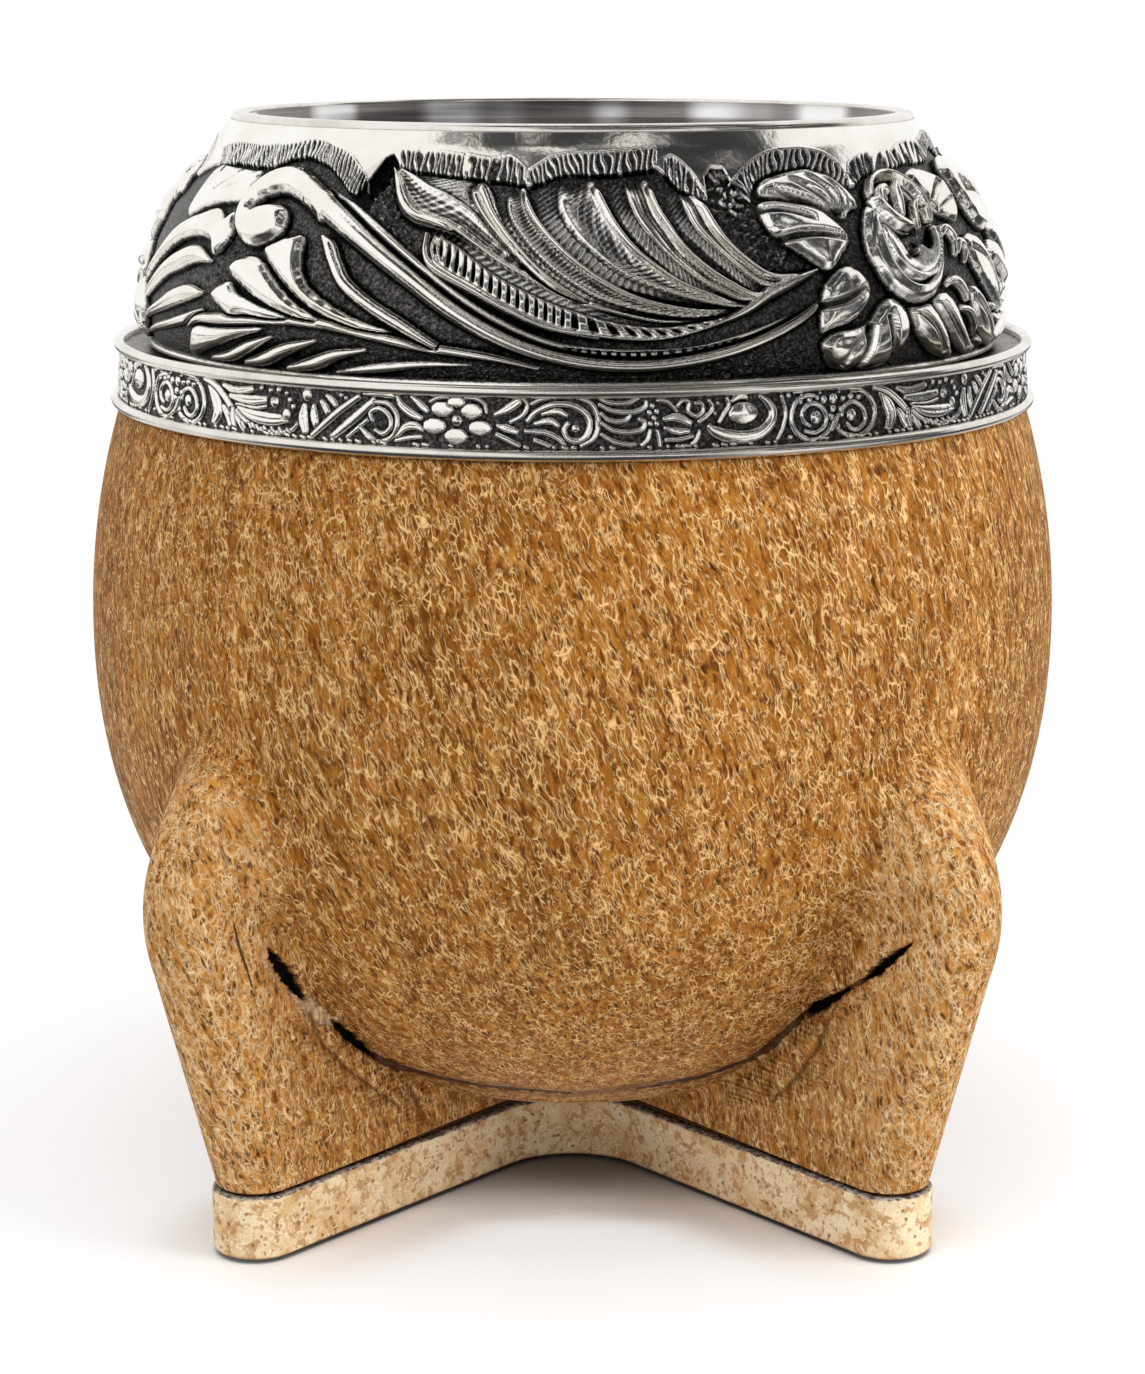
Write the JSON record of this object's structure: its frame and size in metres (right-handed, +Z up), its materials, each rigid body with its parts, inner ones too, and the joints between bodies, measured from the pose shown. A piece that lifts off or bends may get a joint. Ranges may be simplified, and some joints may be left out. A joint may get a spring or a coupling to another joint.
{
  "type": "mate gourd",
  "caption": "Round drinking gourd covered in moulded hide on a four-legged cross foot, with a steel cup inside and a chased silver collar.",
  "frame": {"origin": "on the table under the vertical axis of the cup, at the centre of the foot's underside", "axes": "+Z up along the cup's axis, -Y towards the viewer of the picture between the two front legs, +X to that viewer's right"},
  "size_m": [0.092, 0.092, 0.1005],
  "materials": {
    "silver_polished": "polished nickel silver",
    "silver_chased": "chased nickel silver, oxidised in the hollows",
    "cup_steel": "spun satin steel",
    "bedding": "cast resin",
    "calabash": "dried gourd",
    "hide": "wet-moulded grained hide",
    "pale_hide": "pale mottled hide strip",
    "dark_hide": "dark sole leather",
    "wood": "sawn wood"
  },
  "bodies": {
    "root": {"mouth_ring": "silver_polished", "collar_shell": "silver_chased", "upper_bead": "silver_polished", "lower_bead": "silver_polished", "frieze_band": "silver_chased", "liner_cup": "cup_steel", "collar_bedding": "bedding", "gourd_shell": "calabash", "hide_cover": "hide", "leg_fin_front_left": "wood", "leg_fin_front_right": "wood", "leg_fin_rear_left": "wood", "leg_fin_rear_right": "wood", "foot_strip": "pale_hide", "foot_cross": "wood", "foot_sole": "dark_hide"}
  },
  "joints": []
}
